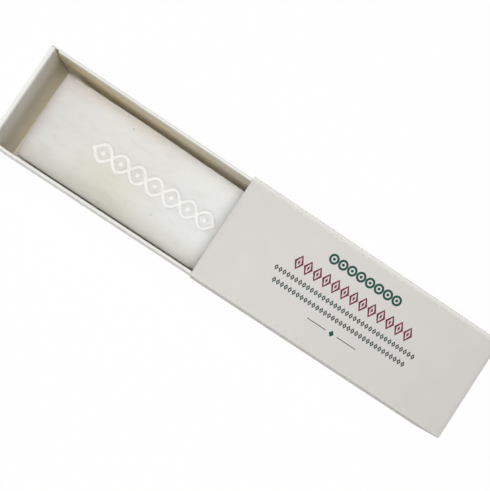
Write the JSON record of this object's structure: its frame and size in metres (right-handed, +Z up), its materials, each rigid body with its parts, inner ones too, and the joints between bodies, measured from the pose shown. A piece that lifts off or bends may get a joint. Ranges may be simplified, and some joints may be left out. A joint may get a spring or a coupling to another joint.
{
  "type": "slide box with stain remover bar",
  "caption": "Paperboard slide box, open at both ends, with a folded drawer tray drawn most of the way out and a soap bar for removing stains lying in it.",
  "frame": {"origin": "middle of the sleeve's underside, the face that the box lies on", "axes": "+X along the box, away from the drawn tray; +Y to the sleeve's glued side wall; +Z up, out of the tray's open top"},
  "size_m": [0.2043, 0.045, 0.0275],
  "materials": {
    "sleeve_board": "matte",
    "tray_board": "matte",
    "soap": "satin"
  },
  "bodies": {
    "sleeve": {"sleeve": "sleeve_board"},
    "tray": {"tray": "tray_board"},
    "soap_bar": {"soap_bar": "soap"}
  },
  "joints": [
    {"name": "tray_slide", "type": "slide", "parent": "sleeve", "child": "tray", "axis": [-1, 0, 0], "range_m": [-0.0901, 0.03]},
    {"name": "bar_shift", "type": "slide", "parent": "tray", "child": "soap_bar", "axis": [-1, 0, 0], "range_m": [-0.0006, 0.0049]}
  ]
}
